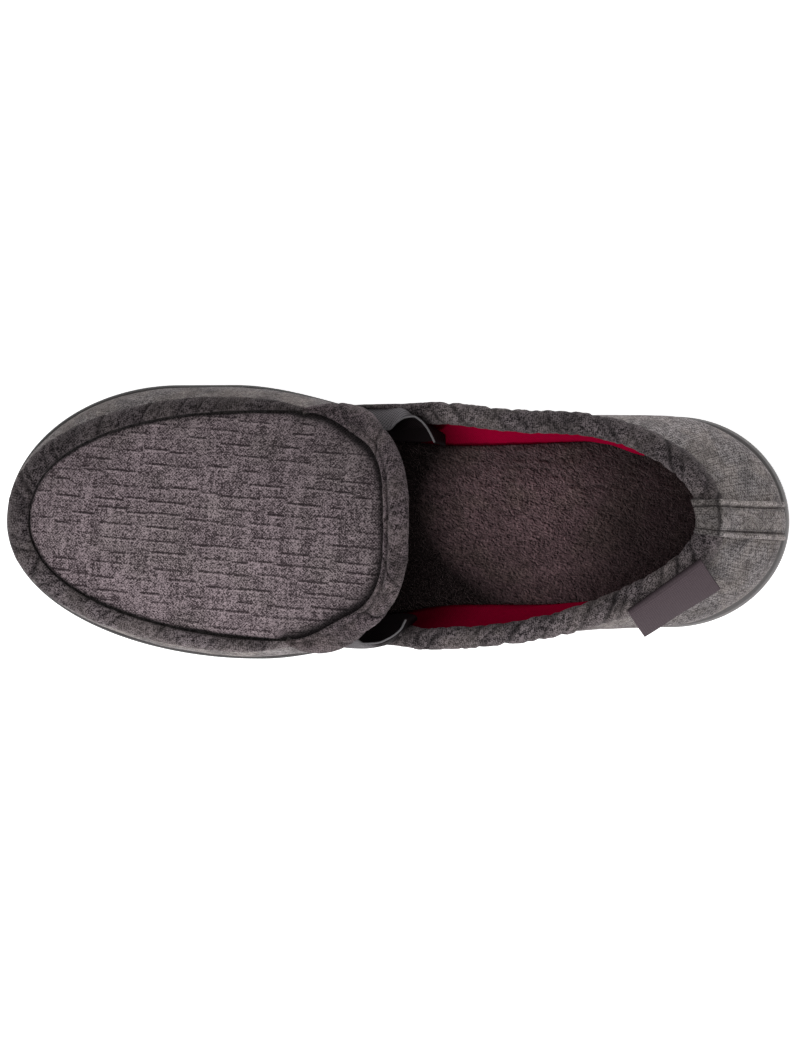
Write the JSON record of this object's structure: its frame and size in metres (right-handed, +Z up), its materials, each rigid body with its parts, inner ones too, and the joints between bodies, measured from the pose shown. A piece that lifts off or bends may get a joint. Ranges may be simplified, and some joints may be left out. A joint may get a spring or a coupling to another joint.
{
  "type": "moccasin slipper",
  "caption": "Left closed-heel moccasin slipper: hollow cloth upper with a raised apron seam, bound collar, elastic side gores, plush footbed and moulded rubber sole.",
  "frame": {"origin": "on the floor under the middle of the sole's length and width", "axes": "+X towards the toe, +Y towards the lateral (outer) side of the foot, +Z up"},
  "size_m": [0.282, 0.0984, 0.08],
  "materials": {
    "rubber": "matte moulded rubber",
    "plush": "dark brown terry plush",
    "upper_cloth": "mauve-grey flecked velour with embossed dashes",
    "dark_cloth": "charcoal napped cloth cut on the bias",
    "band_cloth": "grey-mauve napped cloth",
    "binding_cloth": "charcoal napped cloth cut on the bias",
    "stay_cloth": "grey-mauve napped cloth, double stitched",
    "webbing": "ribbed charcoal elastic webbing",
    "ribbon": "woven ribbon, bare"
  },
  "bodies": {
    "root": {"outsole": "rubber", "insole": "plush", "upper": "upper_cloth", "apron_roll": "dark_cloth", "throat_band": "band_cloth", "collar_binding": "binding_cloth", "heel_stay": "stay_cloth", "gore_medial": "webbing", "gore_lateral": "webbing", "label_tab": "ribbon"}
  },
  "joints": []
}
